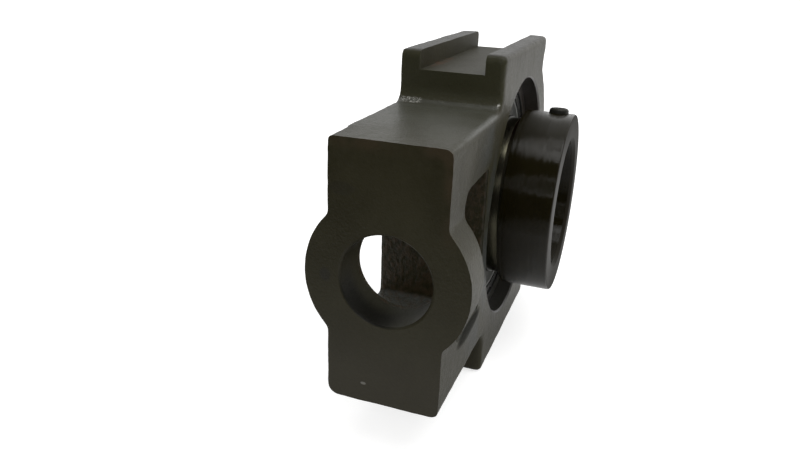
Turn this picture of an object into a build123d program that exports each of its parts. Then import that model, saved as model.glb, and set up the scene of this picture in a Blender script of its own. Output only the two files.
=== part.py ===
# Take up bearing unit with an eccentric locking collar.
# Millimetres. The origin is the bearing centre. +Y is the shaft axis with the collar at the -Y front,
# the adjusting screw end is at -X and +Z is up. The guide rails are at the top and the bottom.

import os
from math import cos, radians, sin, sqrt

from build123d import *

os.makedirs("parts", exist_ok=True)

# Rings and balls, from the shaft outwards
shaft_radius = 30.0
inner_race_wall = 4.5425
inner_shoulder_height = 3.4575
ball_diameter = 15.875
ball_count = 10
ball_running_clearance = 0.02
raceway_radius = 0.52 * ball_diameter
outer_race_wall = 4.5125
outer_shoulder_height = 3.25
seat_running_clearance = 0.03
outer_ring_chamfer = 0.5
ring_bore_chamfer = 1.0
ring_end_chamfer = 0.8

# Cage, two pressed halves with rivets
cage_sheet = 0.9
pocket_clearance = 0.2
cage_half_width = 3.3
rivet_radius = 0.95
rivet_hole_clearance = 0.05
rivet_head_overhang = 0.75
rivet_head_height = 0.6

# Seals and slingers
seal_sheet = 0.8
cage_to_seal = 0.66
seal_shell_reach = 3.6
seal_step = 2.0
seal_press_gap = 0.05
seal_rim_length = 1.6
lip_cover = 1.0
lip_sheet = 0.4
lip_gap = 0.1
lip_root_height = 2.0
slinger_sheet = 0.8
seal_to_slinger = 0.5
slinger_gap = 0.5
slinger_hub_length = 4.2
slinger_fit_gap = 0.02
slinger_inset = 0.2

# Eccentric lock
cam_start = 22.85
cam_length = 8.1
cam_wall = 4.5
eccentric_offset = 1.0
cam_clearance = 0.3
face_gap = 0.3
collar_wall = 7.7
collar_width = 22.65
collar_bore_clearance = 0.2
collar_edge_chamfer = 0.8
collar_bore_chamfer = 1.5
pin_hole_radius = 3.25
pin_hole_depth = 6.0

# Set screw, between the cam's end and the collar's front face, turned from the top towards +X
set_screw_radius = 4.5
set_screw_stand = 2.3
set_screw_shaft_gap = 0.9
set_screw_inset = 7.7
set_screw_turn = 6.0
thread_clearance = 0.05
set_screw_chamfer = 0.8
socket_across_flats = 4.8
socket_depth = 5.0
cup_radius = 2.2
cup_floor_radius = 0.7
cup_depth = 1.0

# Housing, from the bearing seat outwards
body_width = 45.0
seat_margin = 1.0
opening_step = 2.5
opening_chamfer = 0.8
loading_slot_clearance = 1.0
loading_slot_depth_clearance = 0.3
rail_wall = 7.5
lip_height = 8.0
guide_groove_width = 28.0
far_end_wall = 15.5
slot_to_opening_wall = 8.0
nut_slot_length = 35.0
nut_slot_height = 63.0
block_wall = 20.0
end_web_thickness = 18.5
screw_hole_radius = 17.75
screw_hole_chamfer = 0.8
boss_wall = 14.25
rail_near_length = 49.5
rail_far_length = 48.0
rail_flare_depth = 2.5
rail_flare_drop = 7.0
rail_flare_height = 5.0

# Housing, rounded edges
riser_fillet = 6.0
rail_corner_radius = 3.0
rail_flare_radius = 3.0
casting_edge_radius = 2.6
end_face_edge_radius = 0.8
boss_side_fillet = 3.0
slot_near_corner_radius = 7.0
slot_far_corner_radius = 2.0

# Grease passage and nipple
grease_hole_radius = 2.0
ring_groove_width = 3.0
ring_groove_depth = 0.8
ring_hole_radius = 1.1
ring_hole_margin = 0.2
spot_face_margin = 3.0
spot_face_depth = 1.0
nipple_thread_radius = 3.0
nipple_shank_length = 6.0
nipple_shank_gap = 1.0
nipple_hex_across_flats = 8.0
nipple_hex_height = 4.5
nipple_neck_radius = 2.3
nipple_head_overhang = 0.95
nipple_tip_radius = 1.9
nipple_neck_height = 1.6
nipple_bulge_rise = 1.2
nipple_bulge_length = 0.8
nipple_taper_length = 2.4
nipple_mouth_radius = 0.75
nipple_inlet_radius = 0.8
nipple_mouth_length = 1.2
nipple_inlet_length = 1.0
check_ball_overlap = 0.35
check_ball_clearance = 0.2
check_ball_gap = 0.09
spring_wire_radius = 0.18
spring_side_clearance = 0.22
spring_turns = 5

# Cutting bodies run past a face by the overcut, and edges are found within the match gap
overcut = 1.0
match_gap = 0.01

# Derived radii
ball_radius = ball_diameter / 2
inner_race_bottom = shaft_radius + inner_race_wall
inner_shoulder_radius = inner_race_bottom + inner_shoulder_height
pitch_radius = inner_race_bottom + ball_radius + ball_running_clearance
outer_race_bottom = pitch_radius + ball_radius + ball_running_clearance
outer_shoulder_radius = outer_race_bottom - outer_shoulder_height
ring_sphere_radius = outer_race_bottom + outer_race_wall
seat_radius = ring_sphere_radius + seat_running_clearance
opening_radius = seat_radius + opening_step
seal_seat_radius = outer_shoulder_radius + seal_step
pocket_radius = ball_radius + pocket_clearance
cage_reach = pocket_radius + cage_sheet
cam_radius = shaft_radius + cam_wall
collar_radius = cam_radius + cam_clearance + collar_wall
pitch_angle = 360.0 / ball_count

# Derived places along the shaft, on the back side
seal_start = cage_reach + cage_to_seal
seal_end = seal_start + seal_sheet
slinger_start = seal_start + seal_rim_length + seal_to_slinger
outer_ring_half_width = slinger_start + slinger_inset
seal_seat_start = seal_start - slinger_inset
seat_half_width = outer_ring_half_width + seat_margin
grease_plane_y = seal_seat_start - ring_hole_radius - ring_hole_margin
inner_ring_half_width = cam_start + cam_length
collar_inner_y = -(cam_start + face_gap)
collar_front_y = collar_inner_y - collar_width
set_screw_y = collar_front_y + set_screw_inset

# Derived places on the housing
body_half = body_width / 2
groove_floor_z = opening_radius + rail_wall
lip_top_z = groove_floor_z + lip_height
block_half_height = nut_slot_height / 2 + block_wall
slot_far_x = -(opening_radius + slot_to_opening_wall)
slot_near_x = slot_far_x - nut_slot_length
end_face_x = slot_near_x - end_web_thickness
boss_radius = screw_hole_radius + boss_wall
far_end_radius = opening_radius + far_end_wall
rail_near_x = -rail_near_length
rail_far_x = rail_far_length
rail_wall_far_x = rail_far_x - rail_flare_depth
rail_flare_end_z = lip_top_z - rail_flare_drop
rail_flare_start_z = rail_flare_end_z - rail_flare_height
spot_face_x = far_end_radius - spot_face_depth
spot_face_radius = nipple_hex_across_flats / 2 + spot_face_margin
check_ball_radius = nipple_mouth_radius + check_ball_overlap
nipple_chamber_radius = check_ball_radius + check_ball_clearance
spring_coil_radius = nipple_chamber_radius - spring_side_clearance - spring_wire_radius
nipple_head_radius = nipple_neck_radius + nipple_head_overhang


def save(solid, node):
    """Write one node's solid and print its volume."""
    export_step(solid, f"parts/{node}.step")
    print(node, round(solid.volume, 2))


def box_between(x0, x1, y0, y1, z0, z1):
    """Box from its lowest to its highest corner."""
    return Pos((x0 + x1) / 2, (y0 + y1) / 2, (z0 + z1) / 2) * Box(x1 - x0, y1 - y0, z1 - z0)


def rect_between(x0, x1, y0, y1):
    """Rectangle on the XY plane from its lowest to its highest corner."""
    return Pos((x0 + x1) / 2, (y0 + y1) / 2) * Rectangle(x1 - x0, y1 - y0)


def outline(*points):
    """Flat face with straight sides through the points."""
    return make_face(Polyline(*points, close=True))


def ring_solid(section):
    """Turn a section, drawn with radius as X and the shaft axis as Y, about the shaft axis."""
    return revolve(section, Axis.Y, 360)


def along_y(radius, y0, y1, x=0.0, z=0.0):
    """Cylinder along the shaft direction between two Y values."""
    return Pos(x, (y0 + y1) / 2, z) * Rot(90, 0, 0) * Cylinder(radius, y1 - y0)


def along_x(radius, x0, x1, y=0.0, z=0.0):
    """Cylinder along X between two X values."""
    return Pos((x0 + x1) / 2, y, z) * Rot(0, 90, 0) * Cylinder(radius, x1 - x0)


def along_z(radius, z0, z1, x=0.0, y=0.0):
    """Upright cylinder between two Z values."""
    return Pos(x, y, (z0 + z1) / 2) * Cylinder(radius, z1 - z0)


def mirrored(solid):
    """The same piece on the other side of the bearing's middle plane."""
    return mirror(solid, Plane.XZ)


def side_section(section, side):
    """Section of the back side, or its mirror image for the front side."""
    return section if side > 0 else mirror(section, Plane.XZ)


def make_housing():
    """The casting: rails, end block, boss, nut slot, bearing seat and grease hole."""
    # Side view on X and Z, drawn from the end block's back to the round far end.
    wall_z = sqrt(far_end_radius**2 - rail_wall_far_x**2)
    top_line = Polyline(
        (slot_near_x, -block_half_height),
        (slot_near_x, block_half_height),
        (rail_near_x, block_half_height),
        (rail_near_x, lip_top_z),
        (rail_far_x, lip_top_z),
        (rail_far_x, rail_flare_end_z),
        (rail_wall_far_x, rail_flare_start_z),
        (rail_wall_far_x, wall_z),
    )
    bottom_line = Polyline(
        (rail_wall_far_x, -wall_z),
        (rail_wall_far_x, -rail_flare_start_z),
        (rail_far_x, -rail_flare_end_z),
        (rail_far_x, -lip_top_z),
        (rail_near_x, -lip_top_z),
        (rail_near_x, -block_half_height),
        (slot_near_x, -block_half_height),
    )
    round_end = ThreePointArc((rail_wall_far_x, wall_z), (far_end_radius, 0), (rail_wall_far_x, -wall_z))
    side_view = make_face(top_line + round_end + bottom_line)
    inner_corners = [
        v for v in side_view.vertices()
        if abs(v.X - rail_near_x) < match_gap and abs(abs(v.Y) - block_half_height) < match_gap
    ]
    side_view = fillet(inner_corners, riser_fillet)
    outer_corners = [v for v in side_view.vertices() if abs(abs(v.Y) - lip_top_z) < match_gap]
    side_view = fillet(outer_corners, rail_corner_radius)
    flare_corners = [
        v for v in side_view.vertices()
        if v.X > rail_wall_far_x - match_gap and wall_z - match_gap < abs(v.Y) < rail_flare_end_z + match_gap
    ]
    side_view = fillet(flare_corners, rail_flare_radius)
    body = extrude(Plane.XZ * side_view, body_half, both=True)

    # Rounded rims of the front and back faces.
    rims = [
        e for e in body.edges()
        if abs(abs(e.center().Y) - body_half) < match_gap and e.center().X > slot_near_x + match_gap
    ]
    body = fillet(rims, casting_edge_radius)

    # End web: rectangle and round boss in one section across X.
    end_view = Rectangle(body_width, 2 * block_half_height)
    end_view = fillet(end_view.vertices(), casting_edge_radius)
    end_view = end_view + Circle(boss_radius)
    boss_z = sqrt(boss_radius**2 - body_half**2)
    necks = [
        v for v in end_view.vertices()
        if abs(abs(v.X) - body_half) < match_gap and abs(abs(v.Y) - boss_z) < match_gap
    ]
    end_view = fillet(necks, boss_side_fillet)
    web_plane = Plane(origin=(slot_near_x, 0, 0), x_dir=(0, 1, 0), z_dir=(-1, 0, 0))
    web = extrude(web_plane * end_view, end_web_thickness)
    web_rim = [e for e in web.edges() if abs(e.center().X - end_face_x) < match_gap]
    web = fillet(web_rim, end_face_edge_radius)
    body = body + web

    # Guide grooves along both rails.
    for side in (1, -1):
        z0, z1 = sorted((side * groove_floor_z, side * (lip_top_z + overcut)))
        groove_half = guide_groove_width / 2
        groove = box_between(rail_near_x - overcut, rail_far_x + overcut, -groove_half, groove_half, z0, z1)
        body = body - groove

    # Nut slot with large corners towards the screw end.
    slot_view = rect_between(slot_near_x, slot_far_x, -nut_slot_height / 2, nut_slot_height / 2)
    near = [v for v in slot_view.vertices() if abs(v.X - slot_near_x) < match_gap]
    slot_view = fillet(near, slot_near_corner_radius)
    far = [v for v in slot_view.vertices() if abs(v.X - slot_far_x) < match_gap]
    slot_view = fillet(far, slot_far_corner_radius)
    slot_reach = boss_radius + overcut
    body = body - extrude(Plane.XZ * slot_view, slot_reach, both=True)

    # Adjusting screw hole with a small chamfer at the end face.
    body = body - along_x(screw_hole_radius, end_face_x - overcut, slot_near_x + overcut)
    mouth = Pos(end_face_x + screw_hole_chamfer / 2, 0, 0) * Rot(0, 90, 0) * Cone(
        screw_hole_radius + screw_hole_chamfer, screw_hole_radius, screw_hole_chamfer
    )
    body = body - mouth

    # Ball shaped seat between two plain openings.
    seat_bore = Sphere(seat_radius) & along_y(opening_radius, -seat_half_width, seat_half_width)
    openings = along_y(opening_radius, seat_half_width, body_half + overcut)
    openings = openings + along_y(opening_radius, -body_half - overcut, -seat_half_width)
    body = body - seat_bore - openings
    for side in (1, -1):
        flare = rect_between(0, opening_radius, body_half - opening_chamfer, body_half + overcut)
        flare = flare + outline(
            (opening_radius - overcut, body_half - opening_chamfer - overcut),
            (opening_radius - overcut, body_half + overcut),
            (opening_radius + opening_chamfer + overcut, body_half + overcut),
        )
        body = body - ring_solid(side_section(flare, side))

    # Two loading slots let the ring enter the seat from the back.
    slot_radius = seat_radius + loading_slot_depth_clearance
    loading = along_y(slot_radius, 0, seat_half_width + overcut)
    slot_half = outer_ring_half_width + loading_slot_clearance / 2
    loading = loading & box_between(-opening_radius, opening_radius, 0, body_half, -slot_half, slot_half)
    body = body - loading

    # Grease hole, thread hole and spot face at the far end.
    body = body - along_x(grease_hole_radius, seat_radius - 2 * overcut, spot_face_x, y=grease_plane_y)
    thread_radius = nipple_thread_radius + thread_clearance
    thread_start = spot_face_x - nipple_shank_length - nipple_shank_gap
    body = body - along_x(thread_radius, thread_start, spot_face_x + overcut, y=grease_plane_y)
    body = body - along_x(spot_face_radius, spot_face_x, far_end_radius + overcut, y=grease_plane_y)
    return body


def make_outer_ring():
    """Outer ring: ball shaped outside, raceway, seal seats, oil groove and two oil holes."""
    half = outer_ring_half_width
    section = rect_between(outer_shoulder_radius, ring_sphere_radius, -half, half)
    section = section & Circle(ring_sphere_radius)
    race_centre = outer_race_bottom - raceway_radius
    section = section - Pos(race_centre, 0) * Circle(raceway_radius)
    seat_end = outer_ring_half_width + overcut
    chamfer_start = outer_ring_half_width - outer_ring_chamfer
    rim = sqrt(ring_sphere_radius**2 - outer_ring_half_width**2)
    chamfer_rim = sqrt(ring_sphere_radius**2 - chamfer_start**2)
    for side in (1, -1):
        seat = rect_between(outer_shoulder_radius - overcut, seal_seat_radius, seal_seat_start, seat_end)
        section = section - side_section(seat, side)
        corner = outline(
            (rim - outer_ring_chamfer, outer_ring_half_width),
            (rim - outer_ring_chamfer, seat_end),
            (rim + overcut, seat_end),
            (rim + overcut, chamfer_start),
            (chamfer_rim, chamfer_start),
        )
        section = section - side_section(corner, side)
    groove = rect_between(
        sqrt(ring_sphere_radius**2 - grease_plane_y**2) - ring_groove_depth,
        seat_radius + overcut,
        grease_plane_y - ring_groove_width / 2,
        grease_plane_y + ring_groove_width / 2,
    )
    ring = ring_solid(section - groove)
    hole_start = outer_shoulder_radius - overcut
    hole_end = seat_radius + overcut
    ring = ring - along_x(ring_hole_radius, hole_start, hole_end, y=grease_plane_y)
    return ring - along_x(ring_hole_radius, -hole_end, -hole_start, y=grease_plane_y)


def make_inner_ring():
    """Inner ring: bore, raceway and the eccentric end that carries the locking collar."""
    section = outline(
        (shaft_radius + ring_bore_chamfer, inner_ring_half_width),
        (inner_shoulder_radius - ring_end_chamfer, inner_ring_half_width),
        (inner_shoulder_radius, inner_ring_half_width - ring_end_chamfer),
        (inner_shoulder_radius, -cam_start),
        (shaft_radius, -cam_start),
        (shaft_radius, inner_ring_half_width - ring_bore_chamfer),
    )
    race_centre = inner_race_bottom + raceway_radius
    section = section - Pos(race_centre, 0) * Circle(raceway_radius)
    ring = ring_solid(section)
    cam = along_y(cam_radius, -inner_ring_half_width, -cam_start, z=eccentric_offset)
    cam_end = [e for e in cam.edges() if abs(e.center().Y + inner_ring_half_width) < match_gap]
    cam = chamfer(cam_end, ring_end_chamfer / 2)
    cam = cam - along_y(shaft_radius, -inner_ring_half_width - overcut, -cam_start)
    bevel = outline(
        (shaft_radius - overcut, -inner_ring_half_width - overcut),
        (shaft_radius + ring_bore_chamfer + overcut, -inner_ring_half_width - overcut),
        (shaft_radius - overcut, -inner_ring_half_width + ring_bore_chamfer + overcut),
    )
    return ring + (cam - ring_solid(bevel))


def make_locking_collar():
    """Locking collar: plain bore, eccentric recess, set screw hole and a blind hole for a drift."""
    collar = along_y(collar_radius, collar_front_y, collar_inner_y)
    collar = chamfer(collar.edges().filter_by(GeomType.CIRCLE), collar_edge_chamfer)
    bore_radius = shaft_radius + collar_bore_clearance
    collar = collar - along_y(bore_radius, collar_front_y - overcut, collar_inner_y + overcut)
    recess_end = -(inner_ring_half_width + face_gap)
    recess_mouth = collar_inner_y + overcut
    recess = along_y(cam_radius + cam_clearance, recess_end, recess_mouth, z=eccentric_offset)
    collar = collar - recess
    bevel = outline(
        (bore_radius - overcut, collar_front_y - overcut),
        (bore_radius + collar_bore_chamfer + overcut, collar_front_y - overcut),
        (bore_radius - overcut, collar_front_y + collar_bore_chamfer + overcut),
    )
    collar = collar - ring_solid(bevel)
    screw_hole = along_z(set_screw_radius + thread_clearance, 0, collar_radius + overcut, y=set_screw_y)
    screw_hole = screw_hole.rotate(Axis.Y, set_screw_turn)
    pin_bottom = collar_radius - pin_hole_depth
    return collar - screw_hole - along_x(pin_hole_radius, pin_bottom, collar_radius + overcut, y=set_screw_y)


def make_set_screw():
    """Socket set screw with a cup point, seated in the collar with its head a little proud."""
    top_z = collar_radius + set_screw_stand
    bottom_z = shaft_radius + set_screw_shaft_gap
    screw = along_z(set_screw_radius, bottom_z, top_z, y=set_screw_y)
    screw = chamfer(screw.edges().filter_by(GeomType.CIRCLE), set_screw_chamfer)
    hexagon = RegularPolygon(socket_across_flats / 2, 6, major_radius=False)
    socket_floor = Plane(origin=(0, set_screw_y, top_z - socket_depth))
    screw = screw - extrude(socket_floor * hexagon, socket_depth + overcut)
    cup = Cone(cup_radius, cup_floor_radius, cup_depth)
    screw = screw - Pos(0, set_screw_y, bottom_z + cup_depth / 2) * cup
    return screw.rotate(Axis.Y, set_screw_turn)


def ball_centre(index):
    """Centre of one ball on the pitch circle."""
    angle = radians(index * pitch_angle)
    return pitch_radius * cos(angle), pitch_radius * sin(angle)


def rivet_centre(index):
    """Centre of one cage rivet, halfway between two balls."""
    angle = radians((index + 0.5) * pitch_angle)
    return pitch_radius * cos(angle), pitch_radius * sin(angle)


def make_cage_half():
    """One pressed half of the ribbon cage, on the back side of the middle plane."""
    inner_edge = pitch_radius - cage_half_width
    outer_edge = pitch_radius + cage_half_width
    hole_radius = rivet_radius + rivet_hole_clearance
    half = ring_solid(rect_between(inner_edge, outer_edge, 0, cage_sheet))
    band = ring_solid(rect_between(inner_edge, outer_edge, 0, cage_reach + overcut))
    for index in range(ball_count):
        x, z = ball_centre(index)
        half = half + (Pos(x, 0, z) * Sphere(cage_reach) & band)
    for index in range(ball_count):
        x, z = ball_centre(index)
        half = half - Pos(x, 0, z) * Sphere(pocket_radius)
        x, z = rivet_centre(index)
        half = half - along_y(hole_radius, -overcut, cage_sheet + overcut, x=x, z=z)
    return half


def make_rivets():
    """The cage rivets as a group of separate solids."""
    rivets = []
    for index in range(ball_count):
        x, z = rivet_centre(index)
        rivet = along_y(rivet_radius, -cage_sheet, cage_sheet, x=x, z=z)
        for side in (1, -1):
            y0, y1 = sorted((side * cage_sheet, side * (cage_sheet + rivet_head_height)))
            rivet = rivet + along_y(rivet_radius + rivet_head_overhang, y0, y1, x=x, z=z)
        rivets.append(rivet)
    return Compound(children=rivets)


def make_seal_shell():
    """Pressed steel disc of the back seal, held in the outer ring's seat by its rim."""
    rim_radius = seal_seat_radius - seal_press_gap
    inner_edge = inner_shoulder_radius + seal_shell_reach
    section = rect_between(inner_edge, rim_radius, seal_start, seal_end)
    rim_end = seal_start + seal_rim_length
    section = section + rect_between(rim_radius - seal_sheet, rim_radius, seal_start, rim_end)
    return ring_solid(section)


def make_seal_lip():
    """Rubber edge of the back seal, moulded round the steel disc, with a tapered lip."""
    shell_edge = inner_shoulder_radius + seal_shell_reach
    cover_radius = shell_edge + lip_cover
    tip_radius = inner_shoulder_radius + lip_gap
    root_radius = inner_shoulder_radius + lip_root_height
    section = outline(
        (cover_radius, seal_start - lip_sheet),
        (cover_radius, seal_end + lip_sheet),
        (root_radius, seal_end + lip_sheet),
        (tip_radius, seal_start + seal_sheet / 2),
        (tip_radius, seal_start - lip_sheet / 2),
        (root_radius, seal_start - lip_sheet),
    )
    shell = rect_between(shell_edge, cover_radius + overcut, seal_start, seal_end)
    return ring_solid(section - shell)


def make_slinger():
    """Pressed steel slinger of the back side, on the inner ring outside the seal."""
    hub_radius = inner_shoulder_radius + slinger_fit_gap
    disc_radius = seal_seat_radius - slinger_gap
    bend = slinger_sheet
    section = outline(
        (hub_radius, slinger_start),
        (disc_radius - bend, slinger_start),
        (disc_radius, slinger_start + bend / 2),
        (disc_radius, slinger_start + bend * 1.5),
        (disc_radius - bend, slinger_start + bend),
        (hub_radius + slinger_sheet, slinger_start + bend),
        (hub_radius + slinger_sheet, slinger_start + slinger_hub_length),
        (hub_radius, slinger_start + slinger_hub_length),
    )
    return ring_solid(section)


def make_nipple():
    """Grease nipple body, check ball and spring on the far end."""
    axis_y = grease_plane_y
    hex_top = spot_face_x + nipple_hex_height
    neck_top = hex_top + nipple_neck_height
    tip_x = neck_top + nipple_bulge_rise + nipple_bulge_length + nipple_taper_length
    shank_start = spot_face_x - nipple_shank_length
    hex_plane = Plane(origin=(spot_face_x, axis_y, 0), x_dir=(0, 0, 1), z_dir=(1, 0, 0))
    hexagon = RegularPolygon(nipple_hex_across_flats / 2, 6, major_radius=False)
    body = extrude(hex_plane * hexagon, nipple_hex_height)
    body = body + along_x(nipple_thread_radius, shank_start, spot_face_x, y=axis_y)
    # Head: neck, bulge and tapered tip, drawn with radius as X and length as Y, then laid along X.
    head = outline(
        (0, 0),
        (nipple_neck_radius, 0),
        (nipple_neck_radius, nipple_neck_height),
        (nipple_head_radius, nipple_neck_height + nipple_bulge_rise),
        (nipple_head_radius, nipple_neck_height + nipple_bulge_rise + nipple_bulge_length),
        (nipple_tip_radius, tip_x - hex_top),
        (0, tip_x - hex_top),
    )
    body = body + Pos(hex_top, axis_y, 0) * Rot(0, 0, -90) * ring_solid(head)
    chamber_end = tip_x - nipple_mouth_length
    chamber_start = shank_start + nipple_inlet_length
    body = body - along_x(nipple_inlet_radius, shank_start - overcut, chamber_start + overcut, y=axis_y)
    body = body - along_x(nipple_mouth_radius, chamber_end - overcut, tip_x + overcut, y=axis_y)
    body = body - along_x(nipple_chamber_radius, chamber_start, chamber_end, y=axis_y)
    # The ball stands just below the mouth's edge.
    drop = sqrt(check_ball_radius**2 - nipple_mouth_radius**2)
    ball_x = chamber_end - drop - check_ball_gap
    ball = Pos(ball_x, axis_y, 0) * Sphere(check_ball_radius)
    # The spring fills the rest of the chamber below the ball.
    contact = sqrt((check_ball_radius + spring_wire_radius) ** 2 - spring_coil_radius**2)
    spring_end = ball_x - contact - spring_wire_radius
    spring_start = chamber_start + spring_wire_radius * 2
    height = spring_end - spring_start
    coil = Helix(height / spring_turns, height, spring_coil_radius)
    wire_plane = Plane(origin=coil @ 0, z_dir=coil % 0)
    spring = sweep(wire_plane * Circle(spring_wire_radius), coil, is_frenet=True)
    spring = Pos(spring_start, axis_y, 0) * Rot(0, 90, 0) * spring
    return body, ball, spring


save(make_housing(), "housing")
save(make_outer_ring(), "outer_ring")
save(make_inner_ring(), "inner_ring")
save(make_locking_collar(), "locking_collar")
save(make_set_screw(), "set_screw")

for number in range(ball_count):
    ball_x, ball_z = ball_centre(number)
    save(Pos(ball_x, 0, ball_z) * Sphere(ball_radius), f"ball_{number + 1:02d}")

cage_back = make_cage_half()
save(cage_back, "cage_back")
save(mirrored(cage_back), "cage_front")
save(make_rivets(), "cage_rivets")

seal_shell_back = make_seal_shell()
seal_lip_back = make_seal_lip()
slinger_back = make_slinger()
save(seal_shell_back, "seal_shell_back")
save(mirrored(seal_shell_back), "seal_shell_front")
save(seal_lip_back, "seal_lip_back")
save(mirrored(seal_lip_back), "seal_lip_front")
save(slinger_back, "slinger_back")
save(mirrored(slinger_back), "slinger_front")

nipple_body, nipple_ball, nipple_spring = make_nipple()
save(nipple_body, "nipple_body")
save(nipple_ball, "nipple_ball")
save(nipple_spring, "nipple_spring")
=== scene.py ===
import logging
import math
from dataclasses import dataclass
from enum import Enum

import bmesh
import bpy
import numpy as np
from mathutils import Matrix, Vector, noise


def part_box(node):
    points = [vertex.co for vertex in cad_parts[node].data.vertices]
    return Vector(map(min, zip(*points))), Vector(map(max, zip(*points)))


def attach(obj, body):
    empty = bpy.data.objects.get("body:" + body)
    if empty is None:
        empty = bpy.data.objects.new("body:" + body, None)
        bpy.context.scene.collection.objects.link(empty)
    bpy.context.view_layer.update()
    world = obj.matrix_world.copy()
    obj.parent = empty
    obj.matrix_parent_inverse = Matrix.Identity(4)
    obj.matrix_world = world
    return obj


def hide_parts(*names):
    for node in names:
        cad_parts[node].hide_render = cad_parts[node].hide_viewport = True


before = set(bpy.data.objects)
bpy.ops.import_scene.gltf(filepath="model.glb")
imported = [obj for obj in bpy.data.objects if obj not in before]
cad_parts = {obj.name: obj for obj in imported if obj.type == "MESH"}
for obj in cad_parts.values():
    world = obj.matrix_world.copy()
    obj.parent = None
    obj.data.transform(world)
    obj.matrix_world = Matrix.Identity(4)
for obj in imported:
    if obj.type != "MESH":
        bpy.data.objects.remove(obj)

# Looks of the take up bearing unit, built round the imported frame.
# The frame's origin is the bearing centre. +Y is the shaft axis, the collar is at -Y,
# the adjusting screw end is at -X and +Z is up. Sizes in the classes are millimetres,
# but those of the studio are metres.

MM = 0.001
LOG = logging.getLogger("take_up_unit")
Point = tuple[float, float, float]
Colour = tuple[float, float, float]
# One corner of a turned section: its radius, its place along the axis and, where it is rounded, how much.
Row = tuple[float, ...]
QUARTER = math.pi / 2


class Axis(Enum):
    """Direction that a round shape is turned about."""

    X = "x"
    Y = "y"
    Z = "z"


class Side(Enum):
    """Side of the bearing's middle plane."""

    FRONT = -1
    BACK = 1


# Shader nodes as expressions


class Field:
    """One shader socket that takes part in Python expressions."""

    def __init__(self, recipe: "Recipe", socket: bpy.types.NodeSocket) -> None:
        """Keep the socket and the material it belongs to."""
        self.recipe = recipe
        self.socket = socket

    def _math(self, operation: str, *values: "Field | float") -> "Field":
        """Add one Math node.

        Args:
            operation: the Math node's operation.
            values: its inputs in order, as sockets or numbers.

        Returns:
            The node's result.
        """
        return self.recipe.node("ShaderNodeMath", {"operation": operation}, dict(enumerate(values)))

    def __add__(self, other: "Field | float") -> "Field":
        """Sum."""
        return self._math("ADD", self, other)

    def __radd__(self, other: float) -> "Field":
        """Sum, number first."""
        return self._math("ADD", other, self)

    def __sub__(self, other: "Field | float") -> "Field":
        """Difference."""
        return self._math("SUBTRACT", self, other)

    def __rsub__(self, other: float) -> "Field":
        """Difference, number first."""
        return self._math("SUBTRACT", other, self)

    def __mul__(self, other: "Field | float") -> "Field":
        """Product."""
        return self._math("MULTIPLY", self, other)

    def __rmul__(self, other: float) -> "Field":
        """Product, number first."""
        return self._math("MULTIPLY", other, self)

    def __truediv__(self, other: "Field | float") -> "Field":
        """Quotient."""
        return self._math("DIVIDE", self, other)

    def __pow__(self, other: float) -> "Field":
        """Power."""
        return self._math("POWER", self, other)

    def wave(self) -> "Field":
        """Sine of the value in radians."""
        return self._math("SINE", self)

    def absolute(self) -> "Field":
        """Size without sign."""
        return self._math("ABSOLUTE", self)

    def highest(self, other: "Field | float") -> "Field":
        """Larger of two values."""
        return self._math("MAXIMUM", self, other)

    def ramp(self, low: float, high: float) -> "Field":
        """Smooth step from 0 at low to 1 at high; a low above high gives a falling step.

        Args:
            low: value where the step is 0.
            high: value where it is 1.

        Returns:
            The step.
        """
        settings = {"interpolation_type": "SMOOTHSTEP"}
        ends = {"From Min": low, "From Max": high, "To Min": 0.0, "To Max": 1.0}
        if low > high:
            ends = {"From Min": high, "From Max": low, "To Min": 1.0, "To Max": 0.0}
        return self.recipe.node("ShaderNodeMapRange", settings, {"Value": self, **ends})


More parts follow.
